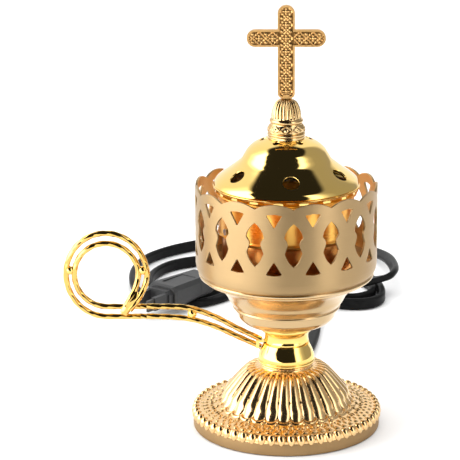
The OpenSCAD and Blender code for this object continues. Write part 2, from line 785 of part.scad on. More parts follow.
// outline of the cross drawn smaller by d all round, as [sideways, height]
module cross_outline(d) {
    w = bar_w - 2 * d;
    foot_z = finial_z1 + 0.2 + d;
    corner = 2.4 - d;
    top = total_h - bar_w / 2;
    reach = (arm_span - bar_w) / 2;
    translate([-w / 2, foot_z + corner]) square([w, top - foot_z - corner]);
    translate([-w / 2 + corner, foot_z]) square([w - 2 * corner, corner + 1]);
    for (s = [-1, 1]) translate([s * (w / 2 - corner), foot_z + corner]) circle(r = corner, $fn = 48);
    translate([0, top]) circle(d = w, $fn = 64);
    translate([-reach, arm_z - w / 2]) square([2 * reach, w]);
    for (s = [-1, 1]) translate([s * reach, arm_z]) circle(d = w, $fn = 64);
}

module cross() {
    color(antique)
        difference() {
            rotate([90, 0, 0]) linear_extrude(bar_t, center = true) cross_outline(0);
            for (s = [-1, 1])
                translate([0, s * (bar_t / 2), 0])
                    rotate([90, 0, 0]) linear_extrude(2 * face_depth, center = true) cross_outline(rim_w);
            translate([-post_w / 2, -post_t / 2, finial_z1 - 1])
                cube([post_w, post_t, post_top - finial_z1 + 1]);
        }
}

foot_shell();
bead_row();
foot_plate();
foot_pad();
plate_screws();
foot_nut();
tie_rod();
stem_lower();
stem_upper();
handle_eye();
handle_outer_wire();
handle_inner_wire();
handle_balls();
handle_tip();
bowl_shell();
gallery();
spacer_tube();
bowl_washer();
heater_can();
can_nut();
heating_element();
thermal_fuse();
inner_cup();
cup_rivets();
cup_screws();
mica_disc();
heater_plate();
element_leads();
terminal_block();
terminal_screws();
lead_clamp();
clamp_screws();
lead_tail();
strain_relief();
lead();
plug_body();
plug_blades();
blade_sleeves();
lid_collar();
lid_dome();
finial();
finial_screw();
cross_post();
cross();
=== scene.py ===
"""Electric table censer: the detailed visual model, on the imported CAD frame.

Lengths are written in millimetres and turned to metres where meshes are made. The frame's origin
is the centre of the flat underside, +Z up, the hand grip towards -X and the front towards -Y.
"""

import json
import math

import bmesh
import bpy
import numpy as np
from mathutils import Matrix, Vector


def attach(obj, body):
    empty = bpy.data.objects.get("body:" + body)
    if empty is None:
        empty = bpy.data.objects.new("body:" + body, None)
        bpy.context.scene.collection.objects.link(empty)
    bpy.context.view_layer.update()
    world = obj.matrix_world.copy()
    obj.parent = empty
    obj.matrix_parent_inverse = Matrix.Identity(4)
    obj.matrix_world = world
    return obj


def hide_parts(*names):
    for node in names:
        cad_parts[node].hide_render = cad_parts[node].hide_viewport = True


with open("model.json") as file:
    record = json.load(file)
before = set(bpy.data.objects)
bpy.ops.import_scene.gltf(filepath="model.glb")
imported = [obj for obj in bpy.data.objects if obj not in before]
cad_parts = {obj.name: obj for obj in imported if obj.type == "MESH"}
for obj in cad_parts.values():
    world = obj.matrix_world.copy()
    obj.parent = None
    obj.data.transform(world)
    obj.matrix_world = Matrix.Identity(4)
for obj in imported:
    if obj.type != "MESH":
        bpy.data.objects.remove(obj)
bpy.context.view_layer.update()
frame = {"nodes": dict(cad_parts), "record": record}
MM = 0.001
TAU = 2 * math.pi

# --- camera ---------------------------------------------------------------------------------
CAMERA_PITCH = 15.73           # degrees that the view looks down
camera = bpy.data.objects.new("camera", bpy.data.cameras.new("camera"))
camera.location = (0, -0.881, 0.343)
camera.rotation_euler = (math.radians(90 - CAMERA_PITCH), 0, 0)
camera.data.sensor_width = 36
camera.data.lens = 154.3
camera.data.shift_x = -0.1224
camera.data.clip_start = 0.05
camera.data.clip_end = 20
bpy.context.scene.collection.objects.link(camera)
bpy.context.scene.camera = camera


# --- shaping helpers ------------------------------------------------------------------------
def smooth(points, steps=10):
    """Catmull-Rom curve through the points, with that many steps from each to the next."""
    p = [np.array(q, float) for q in points]
    out = []
    for i in range(len(p) - 1):
        a, b, c, d = p[max(i - 1, 0)], p[i], p[i + 1], p[min(i + 2, len(p) - 1)]
        for k in range(steps):
            t = k / steps
            out.append(0.5 * (2 * b + (c - a) * t + (2 * a - 5 * b + 4 * c - d) * t * t
                              + (3 * b - a - 3 * c + d) * t ** 3))
    return [tuple(q) for q in out] + [tuple(p[-1])]


SHARP_CORNER = math.radians(25)


def eased(outline, radius, steps=4, closed=False):
    """The outline with its sharp corners rounded to about that radius."""
    pts = [np.array(q, float) for q in outline]
    n = len(pts)
    out = []
    for i, b in enumerate(pts):
        if not closed and i in (0, n - 1):
            out.append(tuple(b))
            continue
        a, c = pts[i - 1], pts[(i + 1) % n]
        u, v = a - b, c - b
        lu, lv = np.linalg.norm(u), np.linalg.norm(v)
        turn = math.pi - math.acos(max(-1, min(1, float(u @ v) / (lu * lv))))
        if turn < SHARP_CORNER:
            out.append(tuple(b))
            continue
        cut = min(radius * math.tan(turn / 2), 0.45 * lu, 0.45 * lv)
        s, e = b + u / lu * cut, b + v / lv * cut
        for k in range(steps + 1):
            t = k / steps
            out.append(tuple((1 - t) ** 2 * s + 2 * t * (1 - t) * b + t * t * e))
    return out


def mesh_object(name, verts, faces, smooth_angle=40):
    """A mesh object from vertices in millimetres."""
    mesh = bpy.data.meshes.new(name)
    mesh.from_pydata([tuple(c * MM for c in v) for v in verts], [], faces)
    mesh.validate()
    return finish_object(name, mesh, smooth_angle)


def finish_object(name, mesh, smooth_angle=40):
    """A smoothly shaded object whose edges stay sharp above that many degrees."""
    mesh.polygons.foreach_set("use_smooth", [True] * len(mesh.polygons))
    if smooth_angle < 180:
        mesh.set_sharp_from_angle(angle=math.radians(smooth_angle))
    obj = bpy.data.objects.new(name, mesh)
    bpy.context.scene.collection.objects.link(obj)
    return obj


def lathe(name, outline, segments=192, closed=True, swell=None, smooth_angle=40):
    """Turns an outline of (radius, height) about Z. swell(angle, i) gives each point's offset in
    radius and height at that angle. The angle is 0 at the front and grows towards +X. An outline
    that isn't closed ends on the axis."""
    n = len(outline)
    verts = []
    for s in range(segments):
        a = TAU * s / segments
        ca, sa = math.sin(a), -math.cos(a)
        for i, (r, z) in enumerate(outline):
            dr, dz = swell(a, i) if swell else (0, 0)
            verts.append(((r + dr) * ca, (r + dr) * sa, z + dz))
    faces = []
    last = n if closed else n - 1
    for s in range(segments):
        t = (s + 1) % segments
        for i in range(last):
            j = (i + 1) % n
            faces.append((s * n + i, t * n + i, t * n + j, s * n + j))
    obj = mesh_object(name, verts, faces, smooth_angle)
    bm = bmesh.new()
    bm.from_mesh(obj.data)
    bmesh.ops.remove_doubles(bm, verts=bm.verts, dist=1e-7)
    bmesh.ops.recalc_face_normals(bm, faces=bm.faces)
    bm.to_mesh(obj.data)
    bm.free()
    return obj


def sweep(name, path, section, twist=lambda s: 0, scale=lambda i: (1, 1)):
    """Sweeps a closed section along a path that lies about in the plane of the hand grip. The section
    is turned by twist(length so far) and stretched by scale(i), sideways and upwards."""
    p = [Vector(q) for q in path]
    verts, faces = [], []
    m, n, length = len(section), len(p), 0.0
    for i, q in enumerate(p):
        if i:
            length += (q - p[i - 1]).length
        d = (p[min(i + 1, n - 1)] - p[max(i - 1, 0)]).normalized()
        side = Vector((0, 1, 0)).cross(d).normalized()
        top = d.cross(side)
        c, s = math.cos(twist(length)), math.sin(twist(length))
        kx, ky = scale(i)
        for x, y in section:
            x, y = x * kx, y * ky
            verts.append(q + side * (x * c - y * s) + top * (x * s + y * c))
    for i in range(n - 1):
        for k in range(m):
            j = (k + 1) % m
            faces.append((i * m + k, i * m + j, (i + 1) * m + j, (i + 1) * m + k))
    faces.append(tuple(reversed(range(m))))
    faces.append(tuple((n - 1) * m + k for k in range(m)))
    obj = mesh_object(name, verts, faces)
    bm = bmesh.new()
    bm.from_mesh(obj.data)
    bmesh.ops.recalc_face_normals(bm, faces=bm.faces)
    bm.to_mesh(obj.data)
    bm.free()
    return obj


def joined(name, parts):
    """One object from several, which are used up."""
    bm = bmesh.new()
    for part in parts:
        part.data.transform(part.matrix_world)
        bm.from_mesh(part.data)
        bpy.data.objects.remove(part)
    mesh = bpy.data.meshes.new(name)
    bm.to_mesh(mesh)
    bm.free()
    return finish_object(name, mesh)


def place(obj, body, slot, material, *nodes):
    """Gives a finished piece its material, its body and the CAD nodes that it stands for."""
    obj.data.materials.clear()
    obj.data.materials.append(material)
    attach(obj, body)
    if nodes:
        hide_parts(*nodes)
    return obj


SAME_BEND = 0.85               # cosine between two stretches of an outline that are shaded as one curve
ON_PROFILE = 2e-5              # metres from the outline within which a vertex lies on it
FACES_ALIKE = 0.88             # cosine between a face and the turned surface that it belongs to


def set_profile_normals(mesh, outline):
    """Shades the faces that lie on a turned surface with that surface's own normals."""
    starts = np.array(outline, float) * MM
    seg = np.roll(starts, -1, axis=0) - starts
    length = np.maximum(np.linalg.norm(seg, axis=1), 1e-12)
    seg_n = np.stack([seg[:, 1], -seg[:, 0]], axis=1) / length[:, None]
    before = np.roll(seg_n, 1, axis=0)
    after = np.roll(seg_n, -1, axis=0)
    at_start = np.where((np.sum(before * seg_n, axis=1) > SAME_BEND)[:, None], before + seg_n, 2 * seg_n)
    at_end = np.where((np.sum(after * seg_n, axis=1) > SAME_BEND)[:, None], after + seg_n, 2 * seg_n)
    co = np.empty(len(mesh.vertices) * 3)
    mesh.vertices.foreach_get("co", co)
    co = co.reshape(-1, 3)
    radial = np.hypot(co[:, 0], co[:, 1])
    rz = np.stack([radial, co[:, 2]], axis=1)
    t = np.clip(np.einsum("ijk,jk->ij", rz[:, None, :] - starts[None], seg) / length[None] ** 2, 0, 1)
    gap = np.linalg.norm(starts[None] + t[..., None] * seg[None] - rz[:, None], axis=2)
    near = gap.argmin(axis=1)
    tt = t[np.arange(len(near)), near][:, None]
    n2 = at_start[near] * (1 - tt) + at_end[near] * tt
    n2 /= np.maximum(np.linalg.norm(n2, axis=1), 1e-12)[:, None]
    unit = co[:, :2] / np.maximum(radial, 1e-9)[:, None]
    turned = np.concatenate([unit * n2[:, :1], n2[:, 1:]], axis=1)
    on_it = gap.min(axis=1) < ON_PROFILE
    normals = []
    for poly in mesh.polygons:
        face = np.array(poly.normal)
        for li in poly.loop_indices:
            vi = mesh.loops[li].vertex_index
            way = float(face @ turned[vi])
            use = on_it[vi] and abs(way) > FACES_ALIKE
            normals.append(tuple(turned[vi] * math.copysign(1, way)) if use else (0, 0, 0))
    mesh.polygons.foreach_set("use_smooth", [True] * len(mesh.polygons))
    mesh.normals_split_custom_set(normals)


# --- materials ------------------------------------------------------------------------------
def add(tree, kind, inputs=None, **props):
    """Adds a node, sets its properties, and sets or links its inputs."""
    node = tree.nodes.new(kind)
    for key, value in props.items():
        setattr(node, key, value)
    for key, value in (inputs or {}).items():
        if isinstance(value, bpy.types.NodeSocket):
            tree.links.new(value, node.inputs[key])
        else:
            node.inputs[key].default_value = value
    return node


def noise(tree, stretch, scale, detail):
    """Noise in the piece's own coordinates, stretched by a factor along each axis."""
    coord = add(tree, "ShaderNodeTexCoord").outputs["Object"]
    mapped = add(tree, "ShaderNodeMapping", {"Vector": coord, "Scale": stretch}).outputs["Vector"]
    texture = add(tree, "ShaderNodeTexNoise", {"Vector": mapped, "Scale": scale, "Detail": detail})
    return texture.outputs["Fac"]


def ramp(tree, fac, stops):
    """A colour ramp through the stops, each a position and a colour."""
    node = add(tree, "ShaderNodeValToRGB", {"Fac": fac})
    elements = node.color_ramp.elements
    while len(elements) < len(stops):
        elements.new(0.5)
    for element, (place_at, colour) in zip(elements, stops):
        element.position = place_at
        element.color = (*colour, 1)
    return node.outputs["Color"]


def grey(v):
    """A colour of that brightness."""
    return (v, v, v)


def surface(name, colours, rough, metallic, blotch, grain=(900, 900, 900), bump=0.0, depth=0.00005,
            sheen=0.0, specular=0.5, anisotropy=0.0, along=0.0, coat=0.0):
    """A principled material. Its colour wanders between two, and its roughness between two. blotch is
    the scale of the broad marks. grain is the stretch of the fine ones, which also make the bump."""
    mat = bpy.data.materials.new(name)
    mat.use_nodes = True
    tree = mat.node_tree
    shader = tree.nodes["Principled BSDF"]
    broad = noise(tree, (1, 1, 1), blotch, 4)
    fine = noise(tree, grain, 1.0, 2)
    both = add(tree, "ShaderNodeMath", {0: broad, 1: fine}, operation="ADD").outputs[0]
    half = add(tree, "ShaderNodeMath", {0: both, 1: 0.5}, operation="MULTIPLY").outputs[0]
    colour = ramp(tree, broad, [(0.3, colours[0]), (0.7, colours[1])])
    roughness = ramp(tree, half, [(0.3, grey(rough[0])), (0.7, grey(rough[1]))])
    tree.links.new(colour, shader.inputs["Base Color"])
    tree.links.new(roughness, shader.inputs["Roughness"])
    shader.inputs["Metallic"].default_value = metallic
    shader.inputs["Specular IOR Level"].default_value = specular
    shader.inputs["Sheen Weight"].default_value = sheen
    shader.inputs["Coat Weight"].default_value = coat
    if anisotropy:
        shader.inputs["Anisotropic"].default_value = anisotropy
        shader.inputs["Anisotropic Rotation"].default_value = along
        tangent = add(tree, "ShaderNodeTangent", direction_type="RADIAL", axis="Z").outputs[0]
        tree.links.new(tangent, shader.inputs["Tangent"])
    if bump:
        made = add(tree, "ShaderNodeBump", {"Height": fine, "Strength": bump, "Distance": depth})
        tree.links.new(made.outputs["Normal"], shader.inputs["Normal"])
    return mat


# each gilt finish: the two colours that it wanders between
BRIGHT_GOLD = [(0.93, 0.64, 0.19), (0.96, 0.67, 0.22)]
SATIN_GOLD = [(0.44, 0.30, 0.145), (0.49, 0.335, 0.168)]
BAND_GOLD = [(0.35, 0.225, 0.105), (0.39, 0.255, 0.122)]
FOOT_GOLD = [(0.84, 0.56, 0.26), (0.88, 0.60, 0.29)]

mirror_gilt = surface("mirror_gilt", BRIGHT_GOLD, (0.035, 0.09), 1.0, 40)
inner_gilt = surface("inner_gilt", [(0.95, 0.50, 0.10), (0.98, 0.56, 0.13)], (0.24, 0.36), 1.0, 40,
                     grain=(60, 60, 5200), bump=0.12)
brushed_gilt = surface("brushed_gilt", SATIN_GOLD, (0.38, 0.50), 1.0, 30, grain=(60, 60, 3600),
                       bump=0.45, anisotropy=0.85, along=0.25)
turned_gilt = surface("turned_gilt", [(0.60, 0.43, 0.23), (0.65, 0.47, 0.26)], (0.16, 0.24), 1.0, 30,
                      grain=(90, 90, 6500), bump=0.15, anisotropy=0.5, along=0.25)
# painted light: a much brighter copy of the gallery's gold for the inside of the same sheet, standing in
# for light that bounces inside the gallery
gallery_inside_painted_light = surface("gallery_inside_painted_light", [(0.92, 0.58, 0.23), (0.96, 0.63, 0.27)], (0.30, 0.42), 1.0, 40,
                      grain=(60, 60, 5200), bump=0.12)
can_gilt = surface("can_gilt", [(0.62, 0.26, 0.06), (0.68, 0.30, 0.08)], (0.24, 0.34), 1.0, 40,
                   grain=(60, 60, 5200), bump=0.12)
pressed_gilt = surface("pressed_gilt", FOOT_GOLD, (0.15, 0.23), 1.0, 50, grain=(700, 700, 700),
                       bump=0.10)
banded_gilt = surface("banded_gilt", BAND_GOLD, (0.48, 0.58), 1.0, 50, grain=(3200, 3200, 60),
                      bump=0.35, anisotropy=0.5)
acorn_gilt = surface("acorn_gilt", [(0.60, 0.40, 0.18), (0.68, 0.47, 0.22)], (0.14, 0.24), 1.0, 120,
                     grain=(1500, 1500, 1500), bump=0.15)
antique_gilt = surface("antique_gilt", [(0.66, 0.38, 0.13), (0.74, 0.44, 0.17)], (0.30, 0.42), 1.0, 300,
                       grain=(2500, 2500, 2500), bump=0.2)
wire_gilt = surface("wire_gilt", [(0.78, 0.49, 0.13), (0.84, 0.55, 0.16)], (0.05, 0.11), 1.0, 90)
# painted shade: near-black metal for the plug's nickel blades, darkened so that they look shaded
blade_painted_shade = surface("blade_painted_shade", [(0.05, 0.048, 0.045), (0.10, 0.096, 0.088)], (0.30, 0.50), 1.0, 260)
plated_steel = surface("plated_steel", [(0.62, 0.62, 0.63), (0.70, 0.70, 0.71)], (0.22, 0.38), 1.0, 120,
                       grain=(200, 200, 4000), bump=0.15)
dark_sheath = surface("dark_sheath", [(0.10, 0.10, 0.11), (0.20, 0.18, 0.17)], (0.40, 0.60), 1.0, 200,
                      bump=0.2)
cast_plate = surface("cast_plate", [(0.42, 0.42, 0.43), (0.52, 0.52, 0.53)], (0.45, 0.65), 1.0, 150,
                     bump=0.35)
nickel = surface("nickel", [(0.72, 0.70, 0.66), (0.80, 0.78, 0.74)], (0.14, 0.26), 1.0, 150,
                 grain=(3000, 200, 3000), bump=0.1)
mica = surface("mica", [(0.55, 0.47, 0.30), (0.68, 0.60, 0.42)], (0.35, 0.55), 0.0, 400,
               coat=0.4, bump=0.1)
porcelain = surface("porcelain", [(0.84, 0.81, 0.74), (0.90, 0.87, 0.81)], (0.12, 0.22), 0.0, 200,
                    coat=0.5)
sleeving = surface("sleeving", [(0.62, 0.58, 0.48), (0.78, 0.74, 0.64)], (0.75, 0.9), 0.0, 500,
                   grain=(4000, 4000, 2500), bump=0.6, sheen=0.3)
felt = surface("felt", [(0.018, 0.018, 0.017), (0.045, 0.044, 0.04)], (0.85, 0.97), 0.0, 500,
               grain=(5000, 5000, 5000), bump=0.8, depth=0.0002, sheen=0.4)
black_pvc = surface("black_pvc", [(0.007, 0.007, 0.007), (0.011, 0.011, 0.011)], (0.30, 0.42), 0.0, 300,
                    grain=(2600, 2600, 2600), bump=0.15, specular=0.05)
plug_pvc = surface("plug_pvc", [(0.018, 0.018, 0.018), (0.028, 0.028, 0.029)], (0.42, 0.56), 0.0, 300,
                   grain=(5200, 5200, 5200), bump=0.35)

# the record's material slots
CAD_MATERIALS = {
    "satin_gilt": brushed_gilt, "bright_gilt": mirror_gilt, "antique_gilt": antique_gilt,
    "plain_steel": plated_steel, "dark_steel": dark_sheath, "plate_metal": cast_plate, "nickel": nickel,
    "mica": mica, "porcelain": porcelain, "sleeving": sleeving, "felt": felt, "black_pvc": plug_pvc,
}
for part in frame["record"]["subparts"]:
    cad_node = frame["nodes"][part["node"]]
    for material_slot in cad_node.material_slots:
        material_slot.material = CAD_MATERIALS[part["material_slot"]]
    if not cad_node.material_slots:
        cad_node.data.materials.append(CAD_MATERIALS[part["material_slot"]])
# painted shade: the plug's blades take the near-black metal in place of nickel
frame["nodes"]["plug_blades"].material_slots[0].material = blade_painted_shade

# --- mains lead -----------------------------------------------------------------------------
LEAD_W, LEAD_T = 6.6, 4.2      # width and thickness of the lead
GROOVE = 0.32                  # depth of the groove between its cores
LEAD_SIDES = 28
# [x, y, lift off the table, turn of the section], the route of the CAD model's own tube
ROUTE = [
    [0, 68, 0.7, 0], [4, 80, 0, 0], [10, 93, 0, 0], [13, 109, 0, 0], [15, 127, 0, 0],
    [16, 144, 1.5, 0], [19, 158, 4.8, 0], [23, 172, 7.2, 0], [31, 184, 7.2, 0], [42, 191.5, 7.2, 0],
    [51, 197, 7.4, 8], [58, 201, 7.6, 30], [62, 210, 7.2, 58], [63, 224, 6, 64], [61.5, 242, 5, 50],
    [58.5, 257, 3.5, 38], [54, 271, 1.5, 38], [45, 285, 0, 60], [27, 297, 0, 90],
    [4, 303, 0, 90], [-22, 302, 0, 90], [-47, 295, 0, 90],
    [-68, 281, 0, 90], [-83, 262, 0, 90], [-89, 241, 0, 90], [-90, 221, 0, 90], [-87, 203, 0, 70],
    [-79, 188, 0, 30], [-66, 178, 0, 0], [-50, 177, 0, 0], [-38, 186, 0, 0], [-29, 198, 0, 0],
    [-17, 206, 0, 30], [-3, 204, 0, 80], [10, 194, 0, 90], [21, 181, 0, 90], [30, 174, 0, 90],
    [39, 172, 0, 90], [47.5, 174.5, 0, 90], [53.5, 183, 0, 90], [54.5, 195, 0, 90],
    [52.5, 209, 0, 90], [47, 223, 0, 90], [36, 236, 0, 90], [18, 247, 0, 90], [-5, 255, 0, 90],
    [-29, 259, 0, 90], [-51, 257, 0, 90], [-68, 247, 0, 90], [-77, 231, 0, 90], [-79, 214, 0, 80],
    [-74, 199, 0, 40], [-62, 189, 0, 0], [-48, 191, 0, 0], [-40, 202, 0, 0], [-32, 214, 0, 10],
    [-18, 220, 0, 40], [-3, 215, 0, 80], [9, 206, 0, 90], [18.5, 193, 0, 90], [27.5, 184, 0, 90],
    [38, 181.5, 0, 90], [46.5, 187, 0, 90], [49.5, 197, 0, 90], [47.5, 210, 0, 90], [39, 223, 0, 90],
    [25, 232, 0, 90], [8, 236, 0, 90], [-9, 233, 2.4, 60], [-21, 225, 5.8, 20], [-29, 217, 7.8, 0],
    [-33, 212.4, 8.6, 0]]


def make_lead():
    """The flat two-core lead: two round cores side by side under one skin, with a groove between."""
    core = LEAD_T / 2
    spread = (LEAD_W - LEAD_T) / 2
    section = []
    for k in range(LEAD_SIDES):
        a = TAU * k / LEAD_SIDES
        groove = GROOVE * math.exp(-(math.cos(a) * 3.2) ** 2)
        section.append((math.copysign(spread, math.cos(a)) * min(1, abs(math.cos(a)) * 3)
                        + core * math.cos(a), (core - groove) * math.sin(a)))
    route = smooth(ROUTE, 4)
    centres = []
    for x, y, lift, turn in route:
        t = math.radians(turn)
        centres.append(Vector((x, y, max(lift, 0) + spread * abs(math.sin(t)) + core)))
    verts, faces, m = [], [], len(section)
    for i, (centre, point) in enumerate(zip(centres, route)):
        ahead = centres[min(i + 1, len(centres) - 1)] - centres[max(i - 1, 0)]
        d = Vector((ahead.x, ahead.y, 0)).normalized()
        t = math.radians(point[3])
        side = Vector((d.y * math.cos(t), -d.x * math.cos(t), math.sin(t)))
        up = Vector((-d.y * math.sin(t), d.x * math.sin(t), math.cos(t)))
        verts += [centre + side * x + up * y for x, y in section]
    for i in range(len(centres) - 1):
        for k in range(m):
            j = (k + 1) % m
            faces.append((i * m + k, i * m + j, (i + 1) * m + j, (i + 1) * m + k))
    faces.append(tuple(reversed(range(m))))
    faces.append(tuple((len(centres) - 1) * m + k for k in range(m)))
    return mesh_object("mains_lead", verts, faces), centres


lead, lead_line = make_lead()
place(lead, "censer", "black_pvc", black_pvc, "lead")

# --- foot -----------------------------------------------------------------------------------
PETALS = 32
PETAL_TURN = math.radians(-2.1)        # the petal nearest the front
PETAL_TIP, PETAL_TOP = 32.0, 13.6      # radii at which the petals end
SUNK = 0.75                            # depth of the ground below the petals' crests
FOOT_WALL = 1.8
BAND_H, FOOT_R = 5.6, 44.1             # the plain band at the table
ROD_R = 5.2                            # radius of the holes for the threaded rod
FOOT_SEGMENTS = 1536                   # enough for 48 steps across each petal
SHOULDER = [(43.9, BAND_H), (43.2, 8.2), (40.6, 9.9), (36, 10.9), (32, 12.3), (30.2, 14),
            (28.8, 17), (26.4, 20), (24, 22.8), (21, 26), (18.3, 28), (14.6, 28.8)]
COLLAR = [(13, 29.2), (12.5, 29.8), (12.9, 30.4), (12.6, 31)]
BEADS = 60
BEAD_R, BEAD_Z = 43.1, 7.3             # where each bead's middle lies
BEAD_HALVES = (1.75, 1.95, 2.7)        # half its thickness, width and length
BEAD_LEAN = math.radians(63)


def ridge(offset, width):
    """Height from 1 on a ridge's line down to 0 a few widths away."""
    return math.exp(-(offset / width) ** 2)


def foot_relief(a, r):
    """Height of the pressed relief above the plain foot, at angle a and radius r."""
    pitch = TAU / PETALS
    across = ((a - PETAL_TURN + pitch / 2) % pitch - pitch / 2) * r      # from the nearest petal
    half = pitch / 2 * r
    end = max(0.0, (r - PETAL_TIP + half) / half)
    start = max(0.0, (PETAL_TOP + 2 - r) / 2)
    inside = 1 - (across / half / 0.97) ** 2 - end ** 2 - start ** 2
    if inside > 0:
        return 0.95 * inside ** 0.8 - SUNK
    if r < 20:
        return -SUNK
    out = r - (PETAL_TIP - half)
    gap = half - abs(across)
    hoop = math.hypot(across, out) - half - 1.1                          # from a hoop round the tip
    level = 0.65 * ridge(hoop, 0.42)
    level += 0.75 * ridge(gap, 0.7) * ridge(r - 33.6, 1.0)               # a dot between two tips
    level += 0.60 * ridge(gap - 0.9, 0.35) * ridge(r - 35.6, 0.9)        # and its two leaves
    level += 0.65 * ridge(across, 0.75) * ridge(r - 36.1, 0.9)           # a dot beyond the tip
    level += 0.60 * ridge(abs(across) - half / 2, 0.6) * ridge(r - 37.9, 0.9)
    bead = TAU / BEADS
    beside = ((a + bead / 2) % bead - bead / 2) * r
    level += 0.55 * ridge(beside, 0.95) * ridge(r - 39.9, 0.8)           # the dots inside the beads
    return level - SUNK


def make_foot():
    """The pressed sheet foot: plain band, relief and petals outside, a plain wall inside."""
    curve = smooth(SHOULDER, 12)
    outline = eased([(42.3, 0.15), (43.95, 0.15), (FOOT_R, 0.4), (FOOT_R, 5.0)], 0.2)
    first = len(outline)
    outline += curve
    last = len(outline)
    outline += eased([curve[-1]] + COLLAR, 0.25)[1:]
    top = outline[-1][1]
    inner = [(r - FOOT_WALL, z - 1.2) for r, z in reversed(curve)]
    outline += [(ROD_R, top), (ROD_R, top - FOOT_WALL)] + inner + [(42.3, 4.5)]
    slopes = []
    for i in range(first, last):
        (r0, z0), (r1, z1) = outline[i - 1], outline[min(i + 1, last - 1)]
        n = math.hypot(r1 - r0, z1 - z0) or 1
        slopes.append(((z1 - z0) / n, -(r1 - r0) / n))

    def swell(a, i):
        if not first + 4 <= i < last:
            return 0, 0
        r, z = outline[i]
        h = foot_relief(a, r) * min(1.0, max(0.0, 42.2 - r), max(0.0, r - 14.2))
        nr, nz = slopes[i - first]
        return nr * h, nz * h

    return lathe("foot_pressed", outline, FOOT_SEGMENTS, swell=swell, smooth_angle=180)


foot = make_foot()
place(foot, "censer", "satin_gilt", pressed_gilt, "foot_shell")
foot.data.materials.append(banded_gilt)
for face in foot.data.polygons:
    if face.center.z < BAND_H * MM and math.hypot(face.center.x, face.center.y) > 43 * MM:
        face.material_index = 1


def make_beads():
    """Drop-shaped beads that lie along the slope at the edge of the foot."""
    thick, wide, long = BEAD_HALVES
    bm = bmesh.new()
    for k in range(BEADS):
        made = bmesh.ops.create_uvsphere(bm, u_segments=20, v_segments=14, radius=1)["verts"]
        a = TAU * (k + 0.5) / BEADS
        for v in made:
            taper = 1 + 0.18 * v.co.z
            along, across, out = v.co.z * long, v.co.y * wide * taper, v.co.x * thick * taper
            r = BEAD_R + out * math.sin(BEAD_LEAN) - along * math.cos(BEAD_LEAN)
            z = BEAD_Z + out * math.cos(BEAD_LEAN) + along * math.sin(BEAD_LEAN)
            x, y = r * math.sin(a) + across * math.cos(a), -r * math.cos(a) + across * math.sin(a)
            v.co = Vector((x, y, z)) * MM
    mesh = bpy.data.meshes.new("foot_beads")
    bmesh.ops.recalc_face_normals(bm, faces=bm.faces)
    bm.to_mesh(mesh)
    bm.free()
    return finish_object("foot_beads", mesh)


place(make_beads(), "censer", "satin_gilt", pressed_gilt, "bead_row")

# --- stem -----------------------------------------------------------------------------------
# outlines of turned pieces, each point (radius, height)
BULB = ([(ROD_R, 31), (12.9, 31), (13.45, 31.35), (13.45, 32), (12.95, 32.4)]
        + smooth([(13.2, 32.8), (13.1, 34.4), (12.3, 36.6), (11.3, 38.8), (10.7, 40.25)], 8)
        + [(ROD_R, 40.25)])
WAIST = ([(ROD_R, 41.35)] + smooth([(10.55, 41.35), (10.3, 43), (10.5, 45), (11.4, 46.8)], 8)
         + [(12.3, 47.1), (12.75, 47.7), (12.75, 48.5), (12.3, 49.15), (ROD_R, 49.15)])
for piece, outline, cad in (("stem_bulb", BULB, "stem_lower"), ("stem_waist", WAIST, "stem_upper")):
    turned = lathe(piece, eased(outline, 0.3, closed=True))
    place(turned, "censer", "bright_gilt", mirror_gilt, cad)

# --- bowl -----------------------------------------------------------------------------------
GOBLET = smooth([(15, 49.6), (19.4, 51), (22.4, 53.6), (23.4, 56), (24.1, 58)], 8)
FLARE = smooth([(24.9, 59.3), (26.8, 62), (28.4, 65), (31.4, 68.6), (34.8, 71), (38, 72.2)], 8)
BOWL_RIM = [(38.9, 72.6), (39, 73.2), (39.8, 73.4), (40.7, 74.1), (40.9, 74.8), (40.2, 75.55)]
BOWL = ([(ROD_R, 49.25), (12.5, 49.25)] + GOBLET + [(25.1, 58.2), (25.3, 58.8)] + FLARE
        + BOWL_RIM + [(36.7, 75.55)]
        + [(r - 1.5, z + 1.2) for r, z in reversed(FLARE) if z < 71]
        + [(r - 1.5, z + 1.5) for r, z in reversed(GOBLET)] + [(ROD_R, 51.4)])
place(lathe("bowl", eased(BOWL, 0.3, closed=True)), "censer", "satin_gilt", turned_gilt, "bowl_shell")

# --- gallery --------------------------------------------------------------------------------
GALLERY_R, GALLERY_WALL = 42.2, 1.1
CREST_Z, SCALLOP, LOBES = 117.7, 2.5, 15        # top of the lobes, their height and their number
GALLERY_BASE = smooth([(40.2, 75.6), (41.6, 77.4), (GALLERY_R, 80.4)], 8)
GALLERY_EDGE = 0.14                             # rounding of the cut edges
FIRST_VALLEY = math.radians(4.5)
CELL = TAU * GALLERY_R / LOBES                  # width of one lobe, round the outside
TOP_VENT, LOW_VENT = (113.3, 106.6, 4.0), (85.3, 92.0, 4.0)     # heights of base and tip, half width
# half the outline of the knotted hole under each valley, as (x, z)
KNOT = [(0, 88.8), (2.5, 91.6), (4.2, 95.4), (3.2, 98), (2.8, 99.6), (3.1, 100.8), (4.4, 102.6),
        (3.9, 104.8), (2.2, 107.4), (0, 109.5)]


def flat_outline(curve, points):
    """Adds a closed outline to the flat strip."""
    spline = curve.splines.new("POLY")
    spline.points.add(len(points) - 1)
    for point, (x, z) in zip(spline.points, points):
        point.co = (x * MM, z * MM, 0, 1)
    spline.use_cyclic_u = True


def vent(x0, z_base, z_tip, half):
    """Outline of a small triangular vent with soft corners."""
    way = math.copysign(1, z_tip - z_base)
    corners = [(x0, z_tip), (x0 + half, z_base + 0.1 * way), (x0, z_base - 0.35 * way),
               (x0 - half, z_base + 0.1 * way)]
    return eased(corners, 0.75, 5, closed=True)


